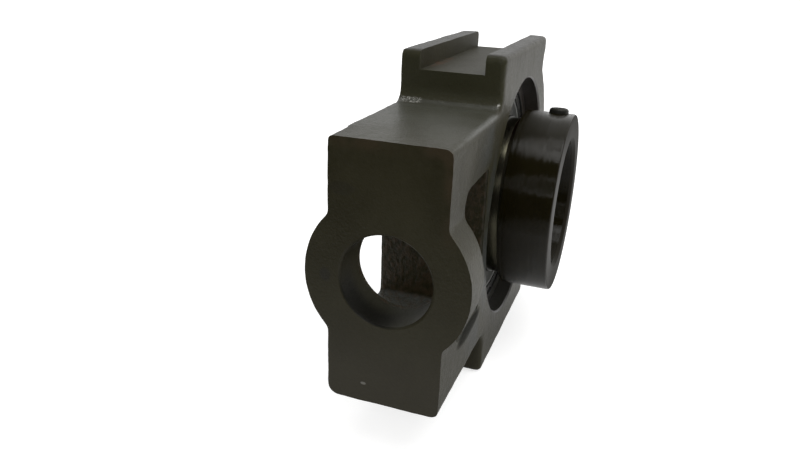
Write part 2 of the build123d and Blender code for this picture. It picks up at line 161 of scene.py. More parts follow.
class Recipe:
    """One node tree, of a material or of the surroundings."""

    def __init__(self, name: str, world: bool = False) -> None:
        """Start a tree with only its output and its main shader.

        Args:
            name: the name of the material or the world.
            world: True for the surroundings, whose main shader is a Background.
        """
        self.material = bpy.data.worlds.new(name) if world else bpy.data.materials.new(name)
        self.material.use_nodes = True
        self.tree = self.material.node_tree
        self.tree.nodes.clear()
        self.output = self.tree.nodes.new("ShaderNodeOutputWorld" if world else "ShaderNodeOutputMaterial")
        self.shader = self.tree.nodes.new("ShaderNodeBackground" if world else "ShaderNodeBsdfPrincipled")
        self.tree.links.new(self.shader.outputs[0], self.output.inputs["Surface"])

    def feed(self, socket: bpy.types.NodeSocket, value: object) -> None:
        """Link a field to a socket, or set the socket's own value.

        Args:
            socket: the input to fill.
            value: a Field, a number, or a tuple of three numbers.
        """
        if isinstance(value, Field):
            self.tree.links.new(value.socket, socket)
        elif isinstance(value, tuple) and socket.type == "RGBA":
            socket.default_value = (*value, 1.0)
        else:
            socket.default_value = value

    def node(
        self, kind: str, settings: dict | None = None, inputs: dict | None = None, out: int | str = 0
    ) -> Field:
        """Make any node.

        Args:
            kind: the node's type.
            settings: the node's properties, set first.
            inputs: socket names or numbers with their values or links.
            out: the output to return.

        Returns:
            The chosen output as a field.
        """
        made = self.tree.nodes.new(kind)
        for key, value in (settings or {}).items():
            setattr(made, key, value)
        for key, value in (inputs or {}).items():
            self.feed(made.inputs[key], value)
        return Field(self, made.outputs[out])

    def place(self) -> Field:
        """Object coordinates in metres."""
        return self.node("ShaderNodeTexCoord", out="Object")

    def parts(self, vector: Field) -> tuple[Field, Field, Field]:
        """X, Y and Z of a vector."""
        split = self.node("ShaderNodeSeparateXYZ", inputs={0: vector}).socket.node
        return tuple(Field(self, output) for output in split.outputs)

    def axes(self) -> tuple[Field, Field, Field]:
        """Object X, Y and Z in millimetres."""
        return tuple(part * (1.0 / MM) for part in self.parts(self.place()))

    def rays(self, *names: str) -> Field:
        """Value of 1 for the named kinds of ray.

        Args:
            names: kinds of ray, as the Light Path node names them.

        Returns:
            The mask.
        """
        path = self.node("ShaderNodeLightPath").socket.node
        chosen = [Field(self, path.outputs[f"Is {name} Ray"]) for name in names]
        total = chosen[0]
        for field in chosen[1:]:
            total = total.highest(field)
        return total

    def main(self) -> Field:
        """Result of the main shader."""
        return Field(self, self.shader.outputs[0])

    def grain(
        self, size: float, detail: float = 2.0, stretch: Point = (1.0, 1.0, 1.0), move: float = 0.0
    ) -> Field:
        """Noise from 0 to 1.

        Args:
            size: size of one lump in millimetres.
            detail: number of finer layers.
            stretch: how much longer the lumps are along X, Y and Z.
            move: shift that makes one noise differ from the next.

        Returns:
            The noise as a value.
        """
        scale = tuple(1.0 / (size * MM * s) for s in stretch)
        sockets = {"Vector": self.place(), "Scale": scale, "Location": (move, move, move)}
        spot = self.node("ShaderNodeMapping", {}, sockets)
        return self.node("ShaderNodeTexNoise", {}, {"Vector": spot, "Scale": 1.0, "Detail": detail}, "Fac")

    def stored(self, name: str) -> Field:
        """Value of a face attribute."""
        return self.node("ShaderNodeAttribute", {"attribute_name": name}, out="Fac")

    def mix(self, first: "Field | Colour", second: "Field | Colour", share: "Field | float") -> Field:
        """Blend two colours.

        Args:
            first: colour at share 0.
            second: colour at share 1.
            share: the blend.

        Returns:
            The blended colour.
        """
        return self.node("ShaderNodeMix", {"data_type": "RGBA"}, {0: share, 6: first, 7: second}, out=2)

    def relief(self, height: Field, depth: float, strength: float = 1.0) -> Field:
        """Bump from a height field.

        Args:
            height: value from 0 to 1.
            depth: depth in millimetres that a height of 1 stands for.
            strength: share of the bump.

        Returns:
            The bent normal.
        """
        sockets = {"Strength": strength, "Distance": depth * MM, "Height": height}
        return self.node("ShaderNodeBump", {}, sockets)

    def finish(self, **sockets: object) -> bpy.types.Material:
        """Fill the main shader's sockets by name, with _ for spaces, and return the material.

        Args:
            sockets: the value or link of each socket.

        Returns:
            The material or the world.
        """
        for key, value in sockets.items():
            self.feed(self.shader.inputs[key.replace("_", " ")], value)
        return self.material


# Finishes


class Coat:
    """Colours laid one over the other on one material, by masks in millimetres."""

    def __init__(self, recipe: Recipe, colour: Colour) -> None:
        """Start with one colour all over.

        Args:
            recipe: the material.
            colour: the colour under all others.
        """
        self.recipe = recipe
        self.colour = colour
        self.x, self.y, self.z = recipe.axes()
        self.shaft_radius = (self.x * self.x + self.z * self.z) ** 0.5

    def lay(self, colour: Colour, share: Field) -> None:
        """Lay a colour over what is there."""
        self.colour = self.recipe.mix(self.colour, colour, share)

    def box(self, low: Point, high: Point, soft: float) -> Field:
        """Value of 1 inside a box and 0 outside it.

        Args:
            low: lowest corner.
            high: highest corner.
            soft: width of the edge.

        Returns:
            The mask.
        """
        mask = None
        for axis, lowest, highest in zip((self.x, self.y, self.z), low, high):
            part = axis.ramp(lowest - soft, lowest) * axis.ramp(highest + soft, highest)
            mask = part if mask is None else mask * part
        return mask

    def spot(self, centre: Point, radii: Point) -> Field:
        """Value that falls from 1 at the centre of an oval spot to 0 at its rim.

        Args:
            centre: middle of the spot.
            radii: its reach along X, Y and Z.

        Returns:
            The mask.
        """
        total = None
        for axis, middle, radius in zip((self.x, self.y, self.z), centre, radii):
            part = ((axis - middle) / radius) ** 2.0
            total = part if total is None else total + part
        return total.ramp(1.0, 0.35)


@dataclass(frozen=True)
class CastPaint:
    """Thin dark olive paint over a rough iron casting, plainer on its machined faces."""

    name: str = "cast_paint"
    paint: Colour = (0.0227, 0.0193, 0.0043)
    worn: Colour = (0.0333, 0.0293, 0.0107)
    dust: Colour = (0.0867, 0.0907, 0.0813)
    rail_top: Colour = (0.0100, 0.0087, 0.0040)
    riser: Colour = (0.0393, 0.0387, 0.0173)
    brown: Colour = (0.0612, 0.0403, 0.0202)
    rust: Colour = (0.0800, 0.0440, 0.0227)
    bare_iron: Colour = (0.0400, 0.0293, 0.0240)
    wall_low: Colour = (0.0240, 0.0253, 0.0187)
    thin_paint: Colour = (0.0427, 0.0467, 0.0440)
    # Darker patch low in the mouth of the screw hole.
    hole_mouth_dark: Colour = (0.0053, 0.0053, 0.0033)
    # Painted shade in the corner under the boss.
    boss_corner_shade: Colour = (0.0080, 0.0080, 0.0053)
    # Paler, browner paint low on the end face: painted bounce light from the floor.
    low_end_bounce_light: Colour = (0.0347, 0.0293, 0.0187)
    # Painted highlight along the rounded top front edge of the block.
    ridge_highlight: Colour = (0.133, 0.137, 0.127)
    # Pale colour of the specks and the nick, and of a painted glint by the riser's front edge.
    chip_and_glint: Colour = (0.413, 0.407, 0.373)
    smudge: Colour = (0.0120, 0.0113, 0.0093)
    sheen: float = 0.5
    roughness: float = 0.36
    relief: float = 0.42
    core_relief: float = 2.4
    end_x: float = -119.0
    riser_x: float = -50.0
    front_y: float = -22.5
    block_top: float = 51.5
    lip_top: float = 73.0
    opening: float = 57.5
    hole: float = 17.75

    def lay_dust_and_painted_light(self, coat: Coat, clouds: Field) -> None:
        """Pale dust on the faces that look up, heavier towards the riser partly as painted light, and the
        riser with a paler foot.

        Args:
            coat: the layers so far.
            clouds: broad unevenness.
        """
        x, y, z = coat.x, coat.y, coat.z
        upward = coat.recipe.stored("upward")
        on_block = x.ramp(self.riser_x + 2.0, self.riser_x - 10.0)
        # Heavier towards the riser, partly painted light that lifts the top's far part, and a little
        # towards the back.
        more = on_block * (x.ramp(self.end_x - 6.0, self.end_x + 49.0) * 0.26 + y.ramp(2.0, 20.0) * 0.06)
        share = clouds.ramp(0.3, 0.7) * 0.18 + more + 0.14
        coat.lay(self.dust, upward * share * z.ramp(self.lip_top - 2.0, self.lip_top - 5.0))
        coat.lay(self.dust, upward * z.ramp(-20.0, -28.0) * 0.6)
        coat.lay(self.rail_top, upward * z.ramp(self.lip_top - 3.0, self.lip_top - 1.0) * 0.8)
        low = (self.riser_x - 10.0, -24.0, self.block_top + 4.1)
        riser = coat.box(low, (self.riser_x, 24.0, 75.0), 4.0)
        coat.lay(self.riser, riser * 0.9)
        # Paler band along the riser's foot, palest on the fillet itself.
        foot = coat.box((-59.0, -20.0, self.block_top - 0.5), (-51.0, 24.0, self.block_top + 1.4), 0.6)
        coat.lay(self.dust, foot * (0.14 + x.ramp(-54.5, -52.5) * 0.22))

    def lay_core(self, coat: Coat, core: Field, streaks: Field) -> None:
        """Brown dust and thin paint on the core walls of the nut slot.

        Args:
            coat: the layers so far.
            core: mask of the slot.
            streaks: the roughness of the core sand.
        """
        coat.lay(self.brown, core * streaks.ramp(0.42, 0.62) * 0.75)
        coat.lay(self.dust, core * coat.z.ramp(-29.0, -30.8) * 0.30)

    def lay_wall(self, coat: Coat, wall: Field) -> None:
        """Bare brownish iron on the turned wall of the opening, and thin paint on the front round it.

        Args:
            coat: the layers so far.
            wall: mask of the turned wall.
        """
        x, y, z = coat.x, coat.y, coat.z
        coat.lay(self.bare_iron, wall * 0.8)
        coat.lay(self.wall_low, wall * z.ramp(0.0, -30.0) * 0.7)
        land = coat.shaft_radius.ramp(70.0, 62.0) * x.ramp(-48.0, -58.0)
        shoulder = coat.shaft_radius.ramp(100.0, 76.0) * x.ramp(-58.0, -66.0)
        shoulder = shoulder * z.absolute().ramp(30.0, 36.0)
        front = y.ramp(self.front_y + 0.3, self.front_y + 0.05)
        coat.lay(self.thin_paint, land.highest(shoulder * 0.85) * front * 0.8)

    def lay_brown(self, coat: Coat, end_face: Field) -> None:
        """Brown rim of the end face and the rust streak in the upper groove.

        Args:
            coat: the layers so far.
            end_face: mask of the end face.
        """
        y, z = coat.y, coat.z
        rim = (z.ramp(44.0, self.block_top) + y.ramp(-17.0, -22.3) * z.ramp(8.0, 30.0)).ramp(0.1, 1.0)
        patches = coat.recipe.grain(9.0, 3.0, move=5.0).ramp(0.3, 0.7)
        coat.lay(self.brown, end_face * rim * patches * 0.55)
        streak = coat.spot((-22.0, 12.2, 65.0), (19.0, 2.6, 1.3))
        patches = coat.recipe.grain(5.0, 3.0, (2.5, 1.0, 1.0), move=2.0).ramp(0.3, 0.6)
        coat.lay(self.rust, streak * patches * 0.8)

    def lay_darkening_and_bounce_light(self, coat: Coat, end_face: Field, corner: Field) -> None:
        """Darker patch low in the mouth of the screw hole, painted shade under the boss, and paler,
        browner paint low on the end face as painted bounce light from the floor.

        Args:
            coat: the layers so far.
            end_face: mask of the end face.
            corner: mask of the painted shade in the corner under the boss.
        """
        x, y, z = coat.x, coat.y, coat.z
        # Darker patch low in the mouth of the screw hole.
        mouth = ((y * y + z * z) ** 0.5).ramp(self.hole + 0.75, self.hole + 0.35)
        mouth = mouth * x.ramp(-104.0, -113.0) * z.ramp(4.0, -9.0) * y.ramp(-8.0, 3.0)
        coat.lay(self.hole_mouth_dark, mouth * 0.85)
        # Painted shade in the corner under the boss.
        coat.lay(self.boss_corner_shade, corner * 0.8)
        # Paler, browner paint low on the end face: painted bounce light from the floor.
        coat.lay(self.low_end_bounce_light, end_face * z.ramp(-12.0, -40.0) * 0.5)

    def lay_marks(self, coat: Coat, specks: Field) -> None:
        """Painted highlight along the top front ridge, pale specks at the riser's foot, a painted glint by
        the riser's front edge, a nick and two smudges, where the photograph has them.

        Args:
            coat: the layers so far.
            specks: fine unevenness.
        """
        x, y, z = coat.x, coat.y, coat.z
        # Painted highlight along the rounded top front edge of the block.
        ridge = y.ramp(-19.6, -21.4) * z.ramp(48.8, 50.6) * x.ramp(-54.0, -62.0) * x.ramp(-118.0, -84.0)
        coat.lay(self.ridge_highlight, ridge * 0.45)
        # Pale specks along the fillet at the riser's foot.
        foot_specks = coat.box((-53.0, 12.4, 52.1), (-50.2, 21.6, 53.0), 1.2)
        foot_specks = foot_specks * coat.recipe.grain(0.48, 1.0, move=9.0).ramp(0.55, 0.62)
        # Painted glint on the rounded edge where the riser's front meets the block.
        corner = coat.spot((self.riser_x, -20.9, 53.0), (2.0, 0.8, 2.2)) * specks.ramp(0.42, 0.55)
        nick = coat.spot((self.end_x, 7.7, -43.6), (2.0, 1.3, 0.7)) * 0.35
        coat.lay(self.chip_and_glint, foot_specks.highest(corner).highest(nick))
        smudge = coat.spot((self.end_x, 23.6, -1.0), (2.0, 2.6, 3.2))
        smudge = smudge.highest(coat.spot((self.end_x, 17.0, 33.0), (2.0, 6.0, 3.0)) * 0.5)
        coat.lay(self.smudge, smudge * 0.5)

    def build(self) -> bpy.types.Material:
        """Make the material.

        Returns:
            The finished material.
        """
        recipe = Recipe(self.name)
        coat = Coat(recipe, self.paint)
        x, y, z = coat.x, coat.y, coat.z
        machined = recipe.stored("machined")
        clouds = recipe.grain(22.0, 3.0)
        specks = recipe.grain(1.7, 3.0, move=3.0)
        streaks = recipe.grain(1.7, 3.0, (1.0, 1.0, 1.3), move=11.0)
        core = coat.box((-102.0, -21.2, -33.0), (-64.0, 21.2, 33.0), 1.0)
        end_face = x.ramp(self.end_x + 0.8, self.end_x + 0.1)
        wall = coat.shaft_radius.ramp(self.opening + 1.1, self.opening + 0.7)
        wall = wall * y.absolute().ramp(22.6, 22.3) * x.ramp(-60.0, -59.0)
        # Corner under the boss, where painted shade darkens the paint and makes it rougher.
        corner = coat.spot((-79.0, self.front_y, -33.2), (20.0, 1.2, 4.6)) * z.ramp(-38.5, -34.0)
        coat.lay(self.worn, (clouds * 0.9 + specks * 0.3 - 0.1).ramp(0.35, 0.75))
        self.lay_dust_and_painted_light(coat, clouds)
        self.lay_core(coat, core, streaks)
        self.lay_brown(coat, end_face)
        self.lay_wall(coat, wall)
        self.lay_darkening_and_bounce_light(coat, end_face, corner)
        self.lay_marks(coat, specks)
        sand = recipe.grain(1.1, 3.0, move=1.0) * 0.6 + recipe.grain(0.55, 2.0, move=7.0) * 0.4
        height = sand * ((1.0 - machined) * 0.5 + 0.5) + streaks * self.core_relief * core
        milled = machined * (1.0 - end_face) * (1.0 - wall)
        return recipe.finish(
            Base_Color=coat.colour,
            Roughness=self.roughness + (specks - 0.5) * 0.14 + milled * 0.20 + corner * 0.6,
            Specular_IOR_Level=self.sheen,
            Normal=recipe.relief(height, self.relief, 0.8),
        )


@dataclass(frozen=True)
class TurnedSteel:
    """Turned or ground steel with fine tool marks round its axis."""

    name: str
    colour: Colour
    stain: Colour
    roughness: float = 0.3
    metallic: float = 1.0
    specular: float = 0.5
    mark_size: float = 0.25
    mark_slope: float = 2.0
    axis: Axis = Axis.Y
    edge_radius: float = 32.0
    # Matt zone: on the collar a plainer front face; on the dark inner ring a near black band beside the
    # collar that is painted shadow of the collar.
    matt_and_shadow_end: float = -1000.0
    matt_and_shadow_lean: float = 0.0
    matt_and_shadow_share: float = 0.32
    matt_and_shadow_colour: Colour = (0.0147, 0.0120, 0.0073)

    def build(self) -> bpy.types.Material:
        """Make the material.

        Returns:
            The finished material.
        """
        recipe = Recipe(self.name)
        x, y, z = recipe.axes()
        along = y if self.axis is Axis.Y else z
        sockets = {"W": along, "Scale": 0.6, "Detail": 3.0}
        swell = recipe.node("ShaderNodeTexNoise", {"noise_dimensions": "1D"}, sockets, "Fac")
        marks = (along * (math.tau / self.mark_size)).wave() * (swell.ramp(0.2, 0.8) * 0.4 + 0.6)
        depth = self.mark_size * math.tan(math.radians(self.mark_slope)) / math.tau
        clouds = recipe.grain(14.0, 3.0, move=4.0)
        specks = recipe.grain(0.8, 2.0, move=6.0)
        stained = (clouds * 0.8 + specks * 0.35 - 0.1).ramp(0.35, 0.85) * 0.8
        bore = ((x * x + z * z) ** 0.5).ramp(self.edge_radius + 1.0, self.edge_radius)
        edge = bore * y.ramp(self.matt_and_shadow_end + 1.6, self.matt_and_shadow_end + 1.1)
        # Matt zone, a dark diffuse shader mixed in; on the inner ring it is the collar's painted shadow.
        face = (y - z * self.matt_and_shadow_lean).ramp(self.matt_and_shadow_end, self.matt_and_shadow_end - 0.2).highest(edge)
        plain = recipe.node("ShaderNodeBsdfDiffuse", {}, {"Color": self.matt_and_shadow_colour})
        share = face * (x.ramp(-38.0, -12.0) * 0.32 + self.matt_and_shadow_share)
        both = recipe.node("ShaderNodeMixShader", {}, {0: share, 1: recipe.main(), 2: plain})
        recipe.feed(recipe.output.inputs["Surface"], both)
        return recipe.finish(
            Base_Color=recipe.mix(self.colour, self.stain, stained),
            Metallic=self.metallic,
            Roughness=self.roughness + (clouds - 0.5) * 0.08 + face * 0.3,
            Specular_IOR_Level=self.specular,
            Normal=recipe.relief(marks * (1.0 - face * 0.8), depth),
        )


@dataclass(frozen=True)
class PressedSheet:
    """Pressed sheet steel with a faint orange peel."""

    name: str
    colour: Colour
    stain: Colour
    roughness: float = 0.4
    metallic: float = 1.0

    def build(self) -> bpy.types.Material:
        """Make the material.

        Returns:
            The finished material.
        """
        recipe = Recipe(self.name)
        clouds = recipe.grain(9.0, 3.0, move=2.0)
        peel = recipe.grain(1.3, 2.0, move=8.0)
        return recipe.finish(
            Base_Color=recipe.mix(self.colour, self.stain, clouds.ramp(0.35, 0.8)),
            Metallic=self.metallic,
            Roughness=self.roughness + (clouds - 0.5) * 0.2,
            Normal=recipe.relief(peel, 0.02, 0.5),
        )


@dataclass(frozen=True)
class SealRubber:
    """Matt black nitrile rubber."""

    name: str = "seal_rubber"
    colour: Colour = (0.0133, 0.0133, 0.0133)
    dust: Colour = (0.0300, 0.0287, 0.0267)

    def build(self) -> bpy.types.Material:
        """Make the material.

        Returns:
            The finished material.
        """
        recipe = Recipe(self.name)
        dusty = recipe.grain(6.0, 3.0).ramp(0.4, 0.8)
        return recipe.finish(
            Base_Color=recipe.mix(self.colour, self.dust, dusty),
            Roughness=0.55 + dusty * 0.2,
            Normal=recipe.relief(recipe.grain(0.5, 2.0, move=2.0), 0.02, 0.5),
        )


@dataclass(frozen=True)
class Finishes:
    """Every material of the unit, made once."""

    casting: bpy.types.Material
    ring: bpy.types.Material
    dark_ring: bpy.types.Material
    collar: bpy.types.Material
    screw: bpy.types.Material
    ball: bpy.types.Material
    cage: bpy.types.Material
    rivet: bpy.types.Material
    seal_sheet: bpy.types.Material
    rubber: bpy.types.Material
    slinger: bpy.types.Material
    nipple: bpy.types.Material
    spring: bpy.types.Material

    @classmethod
    def make(cls) -> "Finishes":
        """Make all the materials.

        Returns:
            The set of materials.
        """
        return cls(
            casting=CastPaint().build(),
            ring=TurnedSteel("ring_steel", (0.34, 0.34, 0.33), (0.24, 0.235, 0.22), 0.28).build(),
            # Its near black matt band next to the collar, wider towards the top, is painted shadow of the
            # collar.
            dark_ring=TurnedSteel(
                "dark_ring_steel", (0.21, 0.20, 0.14), (0.16, 0.15, 0.10), 0.22, mark_slope=9.0,
                matt_and_shadow_end=-21.6, matt_and_shadow_lean=0.035, matt_and_shadow_share=0.68, matt_and_shadow_colour=(0.0067, 0.0033, 0.0020),
            ).build(),
            collar=TurnedSteel(
                "black_collar", (0.0080, 0.0063, 0.0011), (0.0113, 0.0087, 0.0020), 0.10, 0.0,
                mark_slope=20.0, matt_and_shadow_end=-45.5,
            ).build(),
            screw=TurnedSteel(
                "black_screw", (0.0240, 0.0233, 0.0183), (0.0340, 0.0320, 0.0255), 0.36, 0.3, axis=Axis.Z
            ).build(),
            ball=TurnedSteel(
                "ball_steel", (0.72, 0.73, 0.74), (0.62, 0.62, 0.62), 0.08, mark_slope=0.5
            ).build(),
            cage=PressedSheet("cage_steel", (0.55, 0.55, 0.54), (0.40, 0.39, 0.37), 0.35).build(),
            rivet=PressedSheet("rivet_steel", (0.50, 0.50, 0.49), (0.36, 0.35, 0.33), 0.38).build(),
            seal_sheet=PressedSheet("seal_steel", (0.13, 0.14, 0.14), (0.08, 0.08, 0.075), 0.42).build(),
            rubber=SealRubber().build(),
            slinger=PressedSheet(
                "slinger_steel", (0.085, 0.088, 0.078), (0.05, 0.047, 0.038), 0.36
            ).build(),
            nipple=PressedSheet("nipple_plate", (0.52, 0.47, 0.30), (0.36, 0.31, 0.19), 0.30).build(),
            spring=PressedSheet("spring_steel", (0.42, 0.42, 0.41), (0.30, 0.29, 0.28), 0.30).build(),
        )


# Mesh building


def rod(radius: float, start: float, end: float, near: float = 0.0, far: float = 0.0) -> list[Row]:
    """Section of a solid rod.

    Args:
        radius: radius of the rod.
        start: one end along the axis.
        end: the other end.
        near: rounding of the rim at the start.
        far: rounding of the rim at the end.

    Returns:
        The section's four corners.
    """
    return [(0.0, start), (radius, start, near), (radius, end, far), (0.0, end)]


class Shape:
    """A bmesh in millimetres that becomes one finished piece."""

    # Turns that lay a shape built along Y, or one built along Z, on another axis.
    FROM_Y = {
        Axis.X: Matrix.Rotation(-QUARTER, 4, "Z"),
        Axis.Y: Matrix.Identity(4),
        Axis.Z: Matrix.Rotation(QUARTER, 4, "X"),
    }
    FROM_Z = {Axis.X: Matrix.Rotation(QUARTER, 4, "Y"), Axis.Z: Matrix.Identity(4)}

    def __init__(self) -> None:
        """Start empty."""
        self.bm = bmesh.new()

    @staticmethod
    def rounded(
        part: bmesh.types.BMesh, geom: list, radius: float, segments: int, kind: str = "EDGES",
        clamp: bool = False,
    ) -> None:
        """Round some corners or edges.

        Args:
            part: the bmesh that they belong to.
            geom: the vertices or edges.
            radius: how far the rounding reaches.
            segments: number of flats.
            kind: VERTICES or EDGES.
            clamp: True to stop the roundings before they meet.
        """
        bmesh.ops.bevel(
            part, geom=geom, offset=radius, offset_type="OFFSET", segments=segments, profile=0.5,
            affect=kind, material=-1, clamp_overlap=clamp,
        )

    def turned(
        self, corners: list[Row], axis: Axis = Axis.Y, centre: Point = (0.0, 0.0, 0.0), steps: int = 160
    ) -> "Shape":
        """Turn a closed section about an axis.

        Args:
            corners: the section's corners in order, with their rounding.
            axis: the direction of the axis.
            centre: a point that the axis goes through.
            steps: number of flats round the turn.

        Returns:
            This shape.
        """
        part = bmesh.new()
        verts = [part.verts.new((row[0], row[1], 0.0)) for row in corners]
        part.faces.new(verts)
        for vert, row in zip(verts, corners):
            if len(row) == 3 and row[2] > 0.0:
                self.rounded(part, [vert], row[2], 3, "VERTICES")
        bmesh.ops.delete(part, geom=part.faces[:], context="FACES_ONLY")
        bmesh.ops.spin(
            part, geom=part.verts[:] + part.edges[:], cent=(0, 0, 0), axis=(0, 1, 0), dvec=(0, 0, 0),
            angle=math.tau, steps=steps, use_merge=True, use_duplicate=False,
        )
        bmesh.ops.remove_doubles(part, verts=part.verts[:], dist=0.0005)
        place = Matrix.Translation(centre) @ self.FROM_Y[axis]
        bmesh.ops.transform(part, matrix=place, verts=part.verts[:])
        bmesh.ops.recalc_face_normals(part, faces=part.faces[:])
        return self.take(part)

    def block(
        self, low: Point, high: Point, rounds: dict[tuple[int, int], float] | None = None
    ) -> "Shape":
        """Box between two corners, with rounded edges along X.

        Args:
            low: lowest corner.
            high: highest corner.
            rounds: rounding of each edge along X, by the signs of its Y and Z side.

        Returns:
            This shape.
        """
        part = bmesh.new()
        bmesh.ops.create_cube(part, size=1.0)
        size, middle = Vector(high) - Vector(low), (Vector(high) + Vector(low)) / 2
        bmesh.ops.scale(part, vec=size, verts=part.verts[:])
        bmesh.ops.translate(part, vec=middle, verts=part.verts[:])
        for (y_side, z_side), radius in (rounds or {}).items():
            corners = [
                vert for vert in part.verts
                if (vert.co.y - middle.y) * y_side > size.y * 0.499
                and (vert.co.z - middle.z) * z_side > size.z * 0.499
            ]
            edges = [edge for edge in part.edges if all(vert in corners for vert in edge.verts)]
            self.rounded(part, edges, radius, 5)
        return self.take(part)

    def plate(
        self, outline: list[Point], y0: float, y1: float, rim: float = 0.0, back: float = 0.0
    ) -> "Shape":
        """Plate with a straight sided outline on X and Z.

        Args:
            outline: corners as X, Z and rounding, in order.
            y0: lower Y face.
            y1: upper Y face.
            rim: rounding of the edges round the lower Y face.
            back: rounding of the edges round the upper Y face.

        Returns:
            This shape.
        """
        part = bmesh.new()
        verts = [part.verts.new((x, y0, z)) for x, z, _ in outline]
        part.faces.new(verts)
        places = [vert.co.copy() for vert in verts]
        for index, (vert, (_, _, radius)) in enumerate(zip(list(verts), outline)):
            if radius > 0.0:
                before = places[index - 1] - places[index]
                after = places[(index + 1) % len(places)] - places[index]
                reach = radius / math.tan(before.angle(after) / 2)
                self.rounded(part, [vert], reach, 5, "VERTICES")
        grown = bmesh.ops.extrude_face_region(part, geom=part.faces[:])
        moved = [g for g in grown["geom"] if isinstance(g, bmesh.types.BMVert)]
        bmesh.ops.translate(part, vec=(0, y1 - y0, 0), verts=moved)
        bmesh.ops.recalc_face_normals(part, faces=part.faces[:])
        for place, radius in ((y0, rim), (y1, back)):
            if radius > 0.0:
                edges = [e for e in part.edges if all(abs(v.co.y - place) < 1e-6 for v in e.verts)]
                self.rounded(part, edges, radius, 3, clamp=True)
        return self.take(part)

    def prism(
        self, sides: int, across_flats: float, start: float, end: float, axis: Axis, centre: Point,
        bevel: float = 0.0,
    ) -> "Shape":
        """Prism such as a hexagon, along X or Z.

        Args:
            sides: number of sides.
            across_flats: width over two flats.
            start: one end along the axis.
            end: the other end.
            axis: the direction.
            centre: a point that the axis goes through.
            bevel: rounding of the edges.

        Returns:
            This shape.
        """
        part = bmesh.new()
        radius = across_flats / 2 / math.cos(math.pi / sides)
        bmesh.ops.create_cone(
            part, cap_ends=True, segments=sides, radius1=radius, radius2=radius, depth=end - start
        )
        bmesh.ops.translate(part, vec=(0, 0, (start + end) / 2), verts=part.verts[:])
        if bevel > 0.0:
            self.rounded(part, part.edges[:], bevel, 2)
        place = Matrix.Translation(centre) @ self.FROM_Z[axis]
        bmesh.ops.transform(part, matrix=place, verts=part.verts[:])
        return self.take(part)

    def take(self, part: bmesh.types.BMesh) -> "Shape":
        """Add another bmesh's geometry to this shape and free it.

        Args:
            part: the other bmesh.

        Returns:
            This shape.
        """
        held = bpy.data.meshes.new("held")
        part.to_mesh(held)
        part.free()
        self.bm.from_mesh(held)
        bpy.data.meshes.remove(held)
        return self

    def mirrored(self) -> "Shape":
        """Turn the shape over to the other side of the middle plane.

        Returns:
            This shape.
        """
        bmesh.ops.scale(self.bm, vec=(1, -1, 1), verts=self.bm.verts[:])
        bmesh.ops.reverse_faces(self.bm, faces=self.bm.faces[:])
        return self

    def swung(self, degrees: float) -> "Shape":
        """Turn the shape about the shaft axis, from +Z towards +X.

        Args:
            degrees: how far.

        Returns:
            This shape.
        """
        turn = Matrix.Rotation(math.radians(degrees), 3, "Y")
        bmesh.ops.rotate(self.bm, cent=(0, 0, 0), matrix=turn, verts=self.bm.verts[:])
        return self

    def to_object(self, name: str) -> bpy.types.Object:
        """Turn the shape into an object in metres at the origin.

        Args:
            name: the object's name.

        Returns:
            The object.
        """
        bmesh.ops.scale(self.bm, vec=(MM, MM, MM), verts=self.bm.verts[:])
        mesh = bpy.data.meshes.new(name)
        self.bm.to_mesh(mesh)
        self.bm.free()
        made = bpy.data.objects.new(name, mesh)
        bpy.context.scene.collection.objects.link(made)
        return made


class Workshop:
    """Modifier work on whole objects, each applied at once."""

    @staticmethod
    def bake(piece: bpy.types.Object) -> bpy.types.Object:
        """Apply every modifier of a piece.

        Args:
            piece: the piece.

        Returns:
            The same piece, with its modifiers in its mesh.
        """
        graph = bpy.context.evaluated_depsgraph_get()
        graph.update()
        mesh = bpy.data.meshes.new_from_object(piece.evaluated_get(graph))
        old = piece.data
        mesh.name = old.name
        piece.modifiers.clear()
        piece.data = mesh
        bpy.data.meshes.remove(old)
        return piece

    @classmethod
    def cut(
        cls, piece: bpy.types.Object, tools: list[bpy.types.Object], operation: str = "DIFFERENCE"
    ) -> bpy.types.Object:
        """Cut tools out of a piece, or join them to it.

        Args:
            piece: the piece that stays.
            tools: the cutting bodies, removed afterwards.
            operation: the Boolean modifier's operation.

        Returns:
            The piece.
        """
        for tool in tools:
            modifier = piece.modifiers.new("cut", "BOOLEAN")
            modifier.operation = operation
            modifier.solver = "MANIFOLD"
            modifier.object = tool
        cls.bake(piece)
        for tool in tools:
            mesh = tool.data
            bpy.data.objects.remove(tool)
            bpy.data.meshes.remove(mesh)
        return piece

    @staticmethod
    def shade(piece: bpy.types.Object, angle: float = 32.0) -> None:
        """Smooth shading with sharp edges above an angle in degrees.

        Args:
            piece: the piece.
            angle: edges sharper than this stay sharp.
        """
        bm = bmesh.new()
        bm.from_mesh(piece.data)
        bmesh.ops.remove_doubles(bm, verts=bm.verts[:], dist=1e-7)
        limit = math.radians(angle)
        for face in bm.faces:
            face.smooth = True
        for edge in bm.edges:
            edge.smooth = len(edge.link_faces) == 2 and edge.calc_face_angle(0.0) < limit
        bm.to_mesh(piece.data)
        bm.free()

    @staticmethod
    def coat(piece: bpy.types.Object, material: bpy.types.Material) -> None:
        """Give a piece one finish."""
        piece.data.materials.clear()
        piece.data.materials.append(material)

    @classmethod
    def dress(
        cls, piece: bpy.types.Object, material: bpy.types.Material, slot: str, body: str, nodes: list[str],
        angle: float = 32.0,
    ) -> None:
        """Give a finished piece its shading, material, body and the CAD nodes that it stands for.

        Args:
            piece: the finished piece.
            material: its finish.
            slot: not used.
            body: the CAD body that it rides on.
            nodes: the CAD nodes that it replaces.
            angle: edges sharper than this stay sharp.
        """
        cls.shade(piece, angle)
        cls.coat(piece, material)
        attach(piece, body)
        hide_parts(*nodes)
        LOG.info("%s: %d faces", piece.name, len(piece.data.polygons))


# The unit's pieces


